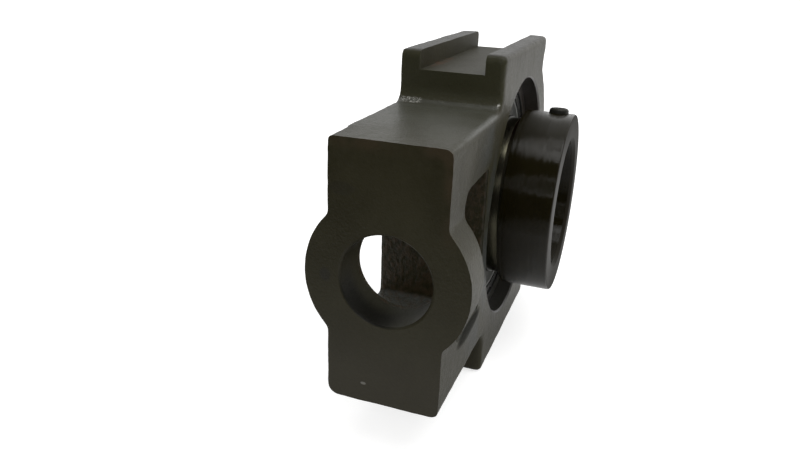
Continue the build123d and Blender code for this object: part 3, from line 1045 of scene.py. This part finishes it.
@dataclass
class Housing:
    """Rough casting with crisp machined cuts."""

    finishes: Finishes
    half_width: float = 22.5
    block_half: float = 51.5
    lip_top: float = 73.0
    near_x: float = -49.5
    far_x: float = 48.0
    wall_far_x: float = 45.5
    flare_end: float = 66.0
    flare_start: float = 61.0
    far_radius: float = 73.0
    web_x: float = -100.5
    slot_far_x: float = -65.5
    slot_half: float = 31.5
    end_x: float = -119.0
    boss_radius: float = 32.0
    hole_radius: float = 17.75
    opening_radius: float = 57.5
    seat_radius: float = 55.0
    seat_half: float = 14.5
    groove_half: float = 14.0
    groove_floor: float = 65.0
    edge: float = 2.6
    back_edge: float = 0.6
    chamfer: float = 0.8
    grease_y: float = 8.2
    spot_face_x: float = 72.0
    spot_face_radius: float = 7.0
    tap_radius: float = 3.05
    tap_start: float = 65.0
    drill_radius: float = 2.0
    drill_start: float = 53.0
    loading_half: float = 14.0
    loading_start: float = -5.0
    trim: float = 4.0
    voxel: float = 1.05
    soften_share: float = 0.5
    soften_passes: int = 4
    sunk: float = 0.10
    # Size and height of each kind of lump, and the shift of its noise.
    lumps: tuple[tuple[float, float, Point], ...] = (
        (17.0, 0.18, (0.0, 0.0, 0.0)), (3.6, 0.10, (7.0, 3.0, 1.0)), (1.5, 0.05, (2.0, 9.0, 5.0))
    )

    def blank(self) -> bpy.types.Object:
        """The casting before its slot and machining.

        Returns:
            The joined body.
        """
        half, top, width, edge = self.block_half, self.lip_top, self.half_width, self.edge
        near, far, wall = self.near_x, self.far_x, self.wall_far_x
        start = self.web_x - 3.0
        outline = [
            (start, -half, 0.0), (start, half, 0.0), (near, half, 6.0), (near, top, 3.0), (far, top, 3.0),
            (far, self.flare_end, 2.0), (wall, self.flare_start, 2.0), (wall, -self.flare_start, 2.0),
            (far, -self.flare_end, 2.0), (far, -top, 3.0), (near, -top, 3.0), (near, -half, 6.0),
        ]
        body = Shape().plate(outline, -width, width, edge, self.back_edge).to_object("housing_casting")
        round_end = Shape().turned(rod(self.far_radius, -width, width, edge, edge)).to_object("far_end")
        rounds = {(1, 1): 1.5, (-1, 1): 2.8, (1, -1): 4.2, (-1, -1): 2.6}
        low = (self.end_x - self.trim, -width, -half)
        web = Shape().block(low, (self.web_x + 2.0, width, half), rounds).to_object("web")
        section = rod(self.boss_radius, self.end_x - self.trim, self.web_x, far=0.8)
        boss = Shape().turned(section, Axis.X).to_object("boss")
        return Workshop.cut(body, [round_end, web, boss], "UNION")

    def roughen(self, body: bpy.types.Object) -> None:
        """Even out the mesh, soften its edges and give it the lumps of a sand casting.

        Args:
            body: the blank casting.
        """
        remesh = body.modifiers.new("remesh", "REMESH")
        remesh.mode = "VOXEL"
        remesh.voxel_size = self.voxel * MM
        soften = body.modifiers.new("soften", "SMOOTH")
        soften.factor = self.soften_share
        soften.iterations = self.soften_passes
        Workshop.bake(body)
        count = len(body.data.vertices)
        places = np.zeros(count * 3, np.float32)
        normals = np.zeros(count * 3, np.float32)
        body.data.vertices.foreach_get("co", places)
        body.data.vertices.foreach_get("normal", normals)
        places = places.reshape(-1, 3)
        normals = normals.reshape(-1, 3)
        lift = np.empty(count, np.float32)
        for index, place in enumerate(places):
            spot = Vector(place) / MM
            lumps = (tall * noise.noise(spot / size + Vector(shift)) for size, tall, shift in self.lumps)
            lift[index] = sum(lumps) - self.sunk
        places = places + normals * (lift * MM)[:, None]
        low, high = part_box("housing")
        places = np.clip(places, np.array([low.x - self.trim * MM, low.y, low.z]), np.array(high))
        body.data.vertices.foreach_set("co", places.ravel().astype(np.float32))
        body.data.update()

    def cutters(self) -> list[bpy.types.Object]:
        """The crisp cuts: end face, nut slot, screw hole, guide grooves, bearing seat and grease hole.

        Returns:
            The cutting bodies.
        """
        end, bevel, reach = self.end_x, self.chamfer, self.boss_radius + 2.0
        face = Shape().block((end - self.trim - 4.0, -60.0, -80.0), (end, 60.0, 80.0)).to_object("face")
        slot = [
            (self.web_x, -self.slot_half, 7.0), (self.web_x, self.slot_half, 7.0),
            (self.slot_far_x, self.slot_half, 2.0), (self.slot_far_x, -self.slot_half, 2.0),
        ]
        tools = [face, Shape().plate(slot, -reach, reach).to_object("slot")]
        outside, inside = end - 2.0, self.web_x + 3.0
        hole = [
            (0.0, outside), (self.hole_radius + bevel + 2.0, outside), (self.hole_radius, end + bevel),
            (self.hole_radius, inside), (0.0, inside),
        ]
        tools.append(Shape().turned(hole, Axis.X).to_object("hole"))
        for side in (1, -1):
            low, high = sorted((side * self.groove_floor, side * (self.lip_top + 2.0)))
            first = (self.near_x - 3.0, -self.groove_half, low)
            last = (self.far_x + 3.0, self.groove_half, high)
            tools.append(Shape().block(first, last).to_object("groove"))
        return tools + self.seat_cutters() + self.grease_cutters()

    def seat_cutters(self) -> list[bpy.types.Object]:
        """Cuts of the opening with its ball shaped seat, and of the two loading slots.

        Returns:
            The cutting bodies.
        """
        width, seat, opening = self.half_width, self.seat_half, self.opening_radius
        past = 1.0
        flare = opening + self.chamfer + past
        rim = width - self.chamfer
        profile = [(0.0, -width - past), (flare, -width - past), (opening, -rim), (opening, -seat)]
        for step in range(-6, 7):
            along = seat * step / 6
            profile.append((math.sqrt(self.seat_radius**2 - along**2), along))
        profile += [(opening, seat), (opening, rim), (flare, width + past), (0.0, width + past)]
        bowl = Shape().turned(profile, steps=192).to_object("seat")
        loading = Shape().turned(rod(self.seat_radius + 0.3, 0.0, seat + 1.0)).to_object("loading")
        first = (-opening, self.loading_start, -self.loading_half)
        keep = Shape().block(first, (opening, width, self.loading_half)).to_object("keep")
        return [bowl, Workshop.cut(loading, [keep], "INTERSECT")]

    def grease_cutters(self) -> list[bpy.types.Object]:
        """Cuts of the nipple's spot face and of the tapped grease hole.

        Returns:
            The cutting bodies.
        """
        centre = (0.0, self.grease_y, 0.0)
        spot = rod(self.spot_face_radius, self.spot_face_x, self.spot_face_x + 4.0, near=0.4)
        drill = [
            (0.0, self.drill_start), (self.drill_radius, self.drill_start),
            (self.drill_radius, self.tap_start), (self.tap_radius, self.tap_start),
            (self.tap_radius, self.spot_face_x + 1.0), (0.0, self.spot_face_x + 1.0),
        ]
        return [
            Shape().turned(spot, Axis.X, centre, 64).to_object("spot_face"),
            Shape().turned(drill, Axis.X, centre, 48).to_object("drill"),
        ]

    def mark_faces(self, body: bpy.types.Object) -> None:
        """Store which faces are machined, and which look up, as face attributes.

        Args:
            body: the finished casting.
        """
        count = len(body.data.polygons)
        middle = np.zeros(count * 3, np.float32)
        body.data.polygons.foreach_get("center", middle)
        x, y, z = (middle.reshape(-1, 3) / MM).T
        close, chamfered = 0.05, self.chamfer + 0.1
        hole = (np.hypot(y, z) < self.hole_radius + chamfered) & (x < self.web_x + 0.5)
        opening = (np.hypot(x, z) < self.opening_radius + chamfered) & (np.abs(y) < self.half_width + 0.1)
        groove = (np.abs(y) < self.groove_half + close) & (np.abs(z) > self.groove_floor - close)
        face = x < self.end_x + close
        value = np.where(hole | opening | groove, 1.0, np.where(face, 0.8, 0.0)).astype(np.float32)
        normals = np.zeros(count * 3, np.float32)
        body.data.polygons.foreach_get("normal", normals)
        upward = np.clip(normals.reshape(-1, 3)[:, 2] * 1.6 - 0.6, 0.0, 1.0).astype(np.float32)
        for name, values in (("machined", value), ("upward", upward)):
            attribute = body.data.attributes.new(name, "FLOAT", "FACE")
            attribute.data.foreach_set("value", values)

    def build(self) -> None:
        """Build and dress the casting."""
        body = self.blank()
        self.roughen(body)
        Workshop.cut(body, self.cutters())
        self.mark_faces(body)
        Workshop.dress(body, self.finishes.casting, "cast_housing", "housing", ["housing"], 34.0)


@dataclass
class LockingCollar:
    """Eccentric locking collar and its set screw."""

    finishes: Finishes
    radius: float = 42.5
    front_y: float = -45.8
    inner_y: float = -23.15
    bore: float = 30.2
    bore_chamfer: float = 1.5
    recess_radius: float = 34.8
    recess_end: float = -31.25
    offset: float = 1.0
    drift_radius: float = 3.25
    drift_depth: float = 6.0
    screw_y: float = -38.1
    screw_radius: float = 4.5
    screw_top: float = 44.8
    screw_bottom: float = 30.9
    screw_turn: float = 6.0
    thread_pitch: float = 1.25
    thread_depth: float = 0.45
    socket_flats: float = 4.8
    socket_depth: float = 5.0

    def build(self) -> None:
        """Build both pieces."""
        self.build_collar()
        self.build_screw()

    def build_collar(self) -> None:
        """Ring with rounded edges, recess, screw hole and drift hole."""
        section = [
            (self.bore + self.bore_chamfer, self.front_y, 0.15), (self.radius, self.front_y, 0.9),
            (self.radius, self.inner_y, 0.35), (self.bore, self.inner_y),
            (self.bore, self.front_y + self.bore_chamfer, 0.15),
        ]
        collar = Shape().turned(section, steps=224).to_object("locking_collar_ring")
        recess = Shape().turned(
            rod(self.recess_radius, self.recess_end, self.inner_y + 2.0), centre=(0.0, 0.0, self.offset)
        ).to_object("recess")
        centre, clear, flare = (0.0, self.screw_y, 0.0), self.screw_radius + 0.05, 2.95
        low = self.radius - 0.4
        high = low + flare
        section = [(0.0, 20.0), (clear, 20.0), (clear, low), (clear + flare, high), (0.0, high)]
        hole = Shape().turned(section, Axis.Z, centre, 64).swung(self.screw_turn).to_object("screw_hole")
        section = rod(self.drift_radius, self.radius - self.drift_depth, self.radius + 3.0)
        drift = Shape().turned(section, Axis.X, centre, 48).to_object("drift_hole")
        Workshop.cut(collar, [recess, hole, drift])
        Workshop.dress(collar, self.finishes.collar, "black_collar", "collar", ["locking_collar"])

    def build_screw(self) -> None:
        """Set screw with rounded rim, hexagon socket, thread grooves and cup point."""
        radius, top, low = self.screw_radius, self.screw_top, self.screw_bottom
        cup, bevel = 1.0, 0.8
        section = [(0.0, low + cup), (0.7, low + cup), (2.2, low)]
        section += [(radius - bevel, low), (radius, low + bevel)]
        pitch, root = self.thread_pitch, radius - self.thread_depth
        along = low + 1.4
        while along + pitch < top - 1.3:
            section += [(radius, along), (root, along + 0.5 * pitch), (radius, along + pitch)]
            along += pitch
        section += [(radius, top - 0.9, 0.25), (radius - 0.9, top, 0.3), (0.0, top)]
        centre, turn = (0.0, self.screw_y, 0.0), self.screw_turn
        screw = Shape().turned(section, Axis.Z, centre, 64).swung(turn).to_object("set_screw_piece")
        socket = Shape().prism(6, self.socket_flats, top - self.socket_depth, top + 1.0, Axis.Z, centre)
        mouth = [(0.0, top - 0.35), (2.55, top - 0.35), (3.2, top + 0.3), (0.0, top + 0.3)]
        lead = Shape().turned(mouth, Axis.Z, centre, 48).swung(turn).to_object("lead")
        Workshop.cut(screw, [socket.swung(turn).to_object("socket"), lead])
        Workshop.dress(screw, self.finishes.screw, "black_screw", "screw", ["set_screw"])


@dataclass
class InsertBearing:
    """Rings, seals, slingers, balls and cage."""

    finishes: Finishes
    shaft: float = 30.0
    shoulder: float = 38.0
    inner_half: float = 30.95
    cam_start: float = 22.85
    cam_radius: float = 34.5
    race_inner: float = 34.5425
    race_outer: float = 50.4575
    race_radius: float = 8.255
    outer_shoulder: float = 47.2075
    sphere: float = 54.97
    outer_half: float = 13.4
    seal_seat: float = 49.2075
    seal_seat_start: float = 9.5
    pitch: float = 42.5
    ball_radius: float = 7.9375
    ball_count: int = 10
    offset: float = 1.0
    oil_y: float = 8.2
    oil_half: float = 1.5
    oil_depth: float = 0.8
    oil_hole: float = 1.1
    seal_start: float = 9.7
    slinger_start: float = 11.8
    sheet: float = 0.8

    def arc(self, centre: float, radius: float, half: float, steps: int, outward: bool) -> list[Row]:
        """Points of a raceway groove on a section.

        Args:
            centre: radius of the groove's centre.
            radius: the groove's own radius.
            half: half of the groove's width.
            steps: number of spans.
            outward: True when the groove is cut towards the axis.

        Returns:
            The corners from -half to +half.
        """
        sign = -1.0 if outward else 1.0
        points = []
        for index in range(steps + 1):
            along = -half + 2 * half * index / steps
            points.append((centre + sign * math.sqrt(radius**2 - along**2), along))
        return points

    def build(self) -> None:
        """Build every piece of the insert bearing."""
        self.build_inner_ring()
        self.build_outer_ring()
        for side in Side:
            self.build_seal(side)
            self.build_slinger(side)
        self.build_balls()
        self.dress_frame_nodes()

    def build_inner_ring(self) -> None:
        """Inner ring with raceway and eccentric end."""
        centre = self.race_inner + self.race_radius
        half = math.sqrt(self.race_radius**2 - (centre - self.shoulder) ** 2)
        section = [(self.shaft, -self.cam_start), (self.shoulder, -self.cam_start, 0.35)]
        section += self.arc(centre, self.race_radius, half, 16, True)
        section += [
            (self.shoulder, self.inner_half, 0.8), (self.shaft + 1.0, self.inner_half, 0.2),
            (self.shaft, self.inner_half - 1.0, 0.2),
        ]
        ring = Shape().turned(section, steps=192).to_object("inner_ring_piece")
        end = -self.inner_half
        cam = Shape().turned(
            rod(self.cam_radius, end, -self.cam_start + 0.01, near=0.4), centre=(0.0, 0.0, self.offset)
        ).to_object("cam")
        section = [
            (0.0, end - 1.0), (self.shaft + 2.0, end - 1.0), (self.shaft, end + 1.0), (self.shaft, -10.0),
            (0.0, -10.0),
        ]
        bore = Shape().turned(section, steps=192).to_object("bore")
        Workshop.cut(cam, [bore])
        Workshop.cut(ring, [cam], "UNION")
        Workshop.dress(ring, self.finishes.dark_ring, "dark_ring_steel", "bearing_inner", ["inner_ring"])

    def on_sphere(self, along: float, sunk: float = 0.0) -> Row:
        """Corner on the outer ring's ball shaped outside, or sunk below it."""
        return (math.sqrt(self.sphere**2 - along**2) - sunk, along)

    def build_outer_ring(self) -> None:
        """Outer ring with ball shaped outside, raceway, seal seats, oil groove and holes."""
        centre = self.race_outer - self.race_radius
        half = math.sqrt(self.race_radius**2 - (self.outer_shoulder - centre) ** 2)
        end, seat, oil = self.outer_half, self.seal_seat_start, self.oil_y
        section = [(self.seal_seat, -end), (self.seal_seat, -seat), (self.outer_shoulder, -seat)]
        section += self.arc(centre, self.race_radius, half, 16, False)
        section += [(self.outer_shoulder, seat), (self.seal_seat, seat), (self.seal_seat, end)]
        upper, lower = oil + self.oil_half, oil - self.oil_half
        section += [self.on_sphere(end, 0.5)] + [self.on_sphere(a) for a in (end - 0.5, 12.0, 11.0, upper)]
        floor = self.on_sphere(oil, self.oil_depth)[0]
        section += [(floor, upper), (floor, lower)]
        stations = (lower, 5.0, 3.0, 1.0, -1.0, -3.0, -5.0, -7.0, -9.0, -11.0, -12.2, 0.5 - end)
        section += [self.on_sphere(a) for a in stations] + [self.on_sphere(-end, 0.5)]
        ring = Shape().turned(section, steps=192).to_object("outer_ring_piece")
        drilled = rod(self.oil_hole, -60.0, 60.0)
        hole = Shape().turned(drilled, Axis.X, (0.0, oil, 0.0), 24).to_object("oil_holes")
        Workshop.cut(ring, [hole])
        Workshop.dress(ring, self.finishes.ring, "ring_steel", "bearing_outer", ["outer_ring"])

    def side_piece(self, section: list[Row], side: Side, name: str) -> bpy.types.Object:
        """Turn a section of the back side, or its mirror image for the front.

        Args:
            section: the corners as they are at the back.
            side: the side that the piece is for.
            name: the object's name.

        Returns:
            The piece.
        """
        shape = Shape().turned(section, steps=176)
        if side is Side.FRONT:
            shape.mirrored()
        return shape.to_object(name)

    def build_seal(self, side: Side) -> None:
        """Steel disc with its rim, and the rubber lip moulded round its edge.

        Args:
            side: the side of the bearing.
        """
        label = side.name.lower()
        rim, edge = self.seal_seat - 0.05, self.shoulder + 3.6
        start, sheet = self.seal_start, self.sheet
        shell = [
            (edge, start), (edge, start + sheet), (rim - sheet, start + sheet, 0.2),
            (rim - sheet, start + 1.6), (rim, start + 1.6, 0.2), (rim, start, 0.4),
        ]
        piece = self.side_piece(shell, side, f"seal_disc_{label}")
        sheet_steel, nodes = self.finishes.seal_sheet, [f"seal_shell_{label}"]
        Workshop.dress(piece, sheet_steel, "seal_steel", "bearing_outer", nodes)
        cover, tip, root = edge + 1.0, self.shoulder + 0.1, self.shoulder + 2.0
        lip = [
            (cover, start - 0.4, 0.1), (cover, start), (edge, start), (edge, start + sheet),
            (cover, start + sheet), (cover, start + 1.2, 0.15), (root, start + 1.2, 0.2),
            (tip, start + 0.4, 0.03), (tip, start - 0.2, 0.05), (root, start - 0.4, 0.1),
        ]
        piece = self.side_piece(lip, side, f"rubber_lip_{label}")
        Workshop.dress(piece, self.finishes.rubber, "seal_rubber", "bearing_outer", [f"seal_lip_{label}"])

    def build_slinger(self, side: Side) -> None:
        """Pressed disc with a bent rim and a short hub on the inner ring.

        Args:
            side: the side of the bearing.
        """
        label = side.name.lower()
        hub, disc = self.shoulder + 0.02, self.seal_seat - 0.5
        start, sheet = self.slinger_start, self.sheet
        section = [
            (hub, start, 0.25), (disc - sheet, start, 0.3), (disc, start + 0.4, 0.1),
            (disc, start + 1.2, 0.15), (disc - sheet, start + sheet, 0.2),
            (hub + sheet, start + sheet, 0.35), (hub + sheet, start + 4.2, 0.25), (hub, start + 4.2),
        ]
        piece = self.side_piece(section, side, f"slinger_disc_{label}")
        nodes = [f"slinger_{label}"]
        Workshop.dress(piece, self.finishes.slinger, "slinger_steel", "bearing_inner", nodes)

    def build_balls(self) -> None:
        """Ten polished balls on the pitch circle."""
        for index in range(self.ball_count):
            angle = math.tau * index / self.ball_count
            shape = Shape()
            bmesh.ops.create_uvsphere(shape.bm, u_segments=40, v_segments=24, radius=self.ball_radius)
            middle = (self.pitch * math.cos(angle), 0.0, self.pitch * math.sin(angle))
            bmesh.ops.translate(shape.bm, vec=middle, verts=shape.bm.verts[:])
            number = f"{index + 1:02d}"
            ball = shape.to_object(f"bearing_ball_{number}")
            Workshop.dress(ball, self.finishes.ball, "ball_steel", f"rolling_{number}", [f"ball_{number}"])

    def dress_frame_nodes(self) -> None:
        """Give the cage halves and rivets, which keep their CAD form, their finishes."""
        for name in ("cage_back", "cage_front"):
            Workshop.coat(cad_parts[name], self.finishes.cage)
        Workshop.coat(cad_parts["cage_rivets"], self.finishes.rivet)


@dataclass
class GreaseNipple:
    """Nipple body, check ball and spring on the round far end."""

    finishes: Finishes
    y: float = 8.2
    seat_x: float = 72.0
    plug: float = 3.0
    waist: float = 3.9
    neck: float = 2.3
    head: float = 3.25
    passage: float = 1.3
    nut_flats: float = 8.0
    nut_height: float = 4.5

    def build(self) -> None:
        """Build the body and dress the ball and the spring."""
        seat, centre = self.seat_x, (0.0, self.y, 0.0)
        top = seat + self.nut_height
        section = [
            (0.8, seat - 6.0), (self.plug - 0.3, seat - 6.0), (self.plug, seat - 5.7),
            (self.plug, seat + 0.2), (self.waist, seat + 0.2), (self.waist, top - 0.1),
            (self.neck, top - 0.1), (self.neck, top + 1.6, 0.3), (self.head, top + 2.8, 0.3),
            (self.head, top + 3.6, 0.3), (1.9, top + 6.0, 0.2), (0.75, top + 6.0, 0.1),
            (0.75, top + 4.8), (self.passage, top + 4.8), (self.passage, seat - 5.0), (0.8, seat - 5.0),
        ]
        body = Shape().turned(section, Axis.X, centre, 64).to_object("nipple_piece")
        nut = Shape().prism(6, self.nut_flats, seat, top, Axis.X, centre, 0.25).to_object("nut")
        bore = Shape().turned(rod(2.0, seat - 1.0, top + 1.0), Axis.X, centre, 48).to_object("bore")
        Workshop.cut(nut, [bore])
        Workshop.cut(body, [nut], "UNION")
        Workshop.dress(body, self.finishes.nipple, "nipple_plate", "housing", ["nipple_body"])
        Workshop.coat(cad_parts["nipple_ball"], self.finishes.ball)
        Workshop.coat(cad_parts["nipple_spring"], self.finishes.spring)


# Studio


@dataclass(frozen=True)
class Lamp:
    """One soft area light that looks at the unit."""

    name: str
    place: Point
    target: Point
    width: float
    height: float
    radiance: float
    mirrored: bool = True

    def build(self) -> None:
        """Make the light; its power follows from its size and how bright its face is."""
        data = bpy.data.lights.new(self.name, "AREA")
        data.shape = "RECTANGLE"
        data.size, data.size_y = self.width, self.height
        data.energy = self.radiance * math.pi * self.width * self.height
        made = bpy.data.objects.new(self.name, data)
        made.location = self.place
        ahead = Vector(self.target) - Vector(self.place)
        made.rotation_euler = ahead.to_track_quat("-Z", "Y").to_euler()
        made.visible_glossy = self.mirrored
        bpy.context.scene.collection.objects.link(made)


@dataclass(frozen=True)
class Studio:
    """Camera, pale floor, lamps and white surroundings."""

    camera_place: Point = (-0.331105, -0.080754, 0.108924)
    yaw: float = 19.679
    pitch: float = -20.888
    roll: float = 2.104
    focal_pixels: float = 705.845
    frame_pixels: float = 800.0
    sensor: float = 36.0
    near_clip: float = 0.01
    far_clip: float = 50.0
    floor_z: float = -0.073
    floor_half: float = 6.0
    floor_colour: Colour = (0.62, 0.62, 0.615)
    floor_far: Colour = (0.06, 0.06, 0.06)
    floor_glow: float = 0.69
    floor_dimmed: float = 0.34
    floor_mirror: float = 0.56
    floor_mirror_far: float = 0.28
    ambient: float = 0.62
    near_mirror: float = 0.04
    side_mirror: float = 0.38
    far_mirror: float = 0.48
    lamps: tuple[Lamp, ...] = (
        Lamp("ceiling", (0.0, -0.1, 1.1), (0.0, 0.0, 0.0), 1.3, 1.3, 0.86, False),
        Lamp("side", (0.5, -1.2, 0.5), (0.0, 0.0, 0.0), 0.9, 0.7, 1.95, False),
        Lamp("panel", (-0.09, -0.39, 0.95), (-0.09, -0.39, 0.0), 0.24, 0.72, 3.7),
        Lamp("strip", (-0.65, -0.34, 0.45), (-0.65, -0.34, 0.0), 0.045, 0.62, 5.0),
    )

    def build(self) -> None:
        """Make everything round the unit."""
        self.build_camera()
        self.build_floor()
        self.build_world()
        for lamp in self.lamps:
            lamp.build()

    def build_camera(self) -> None:
        """Camera at the photograph's viewing angle."""
        yaw, pitch, roll = (math.radians(a) for a in (self.yaw, self.pitch, self.roll))
        ahead = Vector((math.cos(pitch) * math.cos(yaw), math.cos(pitch) * math.sin(yaw), math.sin(pitch)))
        right = ahead.cross(Vector((0.0, 0.0, 1.0))).normalized()
        up = right.cross(ahead)
        across = math.cos(roll) * right + math.sin(roll) * up
        upright = math.cos(roll) * up - math.sin(roll) * right
        matrix = Matrix((across, upright, -ahead)).transposed().to_4x4()
        matrix.translation = Vector(self.camera_place)
        data = bpy.data.cameras.new("camera")
        data.sensor_width = self.sensor
        data.lens = self.focal_pixels * self.sensor / self.frame_pixels
        data.clip_start, data.clip_end = self.near_clip, self.far_clip
        camera = bpy.data.objects.new("camera", data)
        camera.matrix_world = matrix
        bpy.context.scene.collection.objects.link(camera)
        bpy.context.scene.camera = camera
        bpy.context.scene.view_settings.view_transform = "Standard"

    def build_floor(self) -> None:
        """Plain floor, white to the camera, that keeps the unit's soft shadow."""
        shape = Shape()
        bmesh.ops.create_grid(shape.bm, x_segments=1, y_segments=1, size=self.floor_half / MM)
        bmesh.ops.translate(shape.bm, vec=(0.0, 0.0, self.floor_z / MM), verts=shape.bm.verts[:])
        floor = shape.to_object("floor")
        recipe = Recipe("pale_floor")
        x, y, _ = recipe.parts(recipe.place())
        share = x.ramp(-0.32, -0.25) * (1.0 - recipe.rays("Glossy") * self.floor_dimmed)
        colour = recipe.mix(self.floor_far, self.floor_colour, share)
        recipe.finish(Base_Color=colour, Roughness=0.9, Specular_IOR_Level=0.0)
        away = ((x * x + y * y) ** 0.5).ramp(0.25, 0.9)
        white = away.highest(x.ramp(-0.23, -0.30)) * (1.0 - self.floor_glow) + self.floor_glow
        seen = recipe.rays("Camera", "Transmission") * white
        rise, fall = x.ramp(-0.15, 0.28) * self.floor_mirror, x.ramp(0.30, 0.80) * self.floor_mirror_far
        mirror = recipe.rays("Glossy") * (rise - fall)
        glow = recipe.node("ShaderNodeEmission", {}, {"Strength": seen + mirror})
        both = recipe.node("ShaderNodeAddShader", {}, {0: recipe.main(), 1: glow})
        recipe.feed(recipe.output.inputs["Surface"], both)
        floor.data.materials.append(recipe.material)

    def build_world(self) -> None:
        """White for what the camera sees, and a room that is darker behind the camera for the rest."""
        recipe = Recipe("surroundings", world=True)
        x, _, _ = recipe.parts(recipe.node("ShaderNodeTexCoord", out="Generated"))
        mirror = x.ramp(-0.1, 0.35) * self.side_mirror + x.ramp(0.80, 0.97) * self.far_mirror
        mirror = mirror + self.near_mirror
        seen = recipe.rays("Camera", "Transmission")
        glossy = recipe.rays("Glossy") * (1.0 - seen)
        other = (1.0 - seen) * (1.0 - glossy)
        recipe.finish(Color=(1.0, 1.0, 1.0), Strength=seen + glossy * mirror + other * self.ambient)
        bpy.context.scene.world = recipe.material


def main() -> None:
    """Build the unit and its studio."""
    logging.basicConfig(level=logging.INFO, format="%(name)s %(message)s")
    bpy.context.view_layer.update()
    Studio().build()
    finishes = Finishes.make()
    Housing(finishes).build()
    LockingCollar(finishes).build()
    InsertBearing(finishes).build()
    GreaseNipple(finishes).build()


if __name__ == "__main__":
    main()
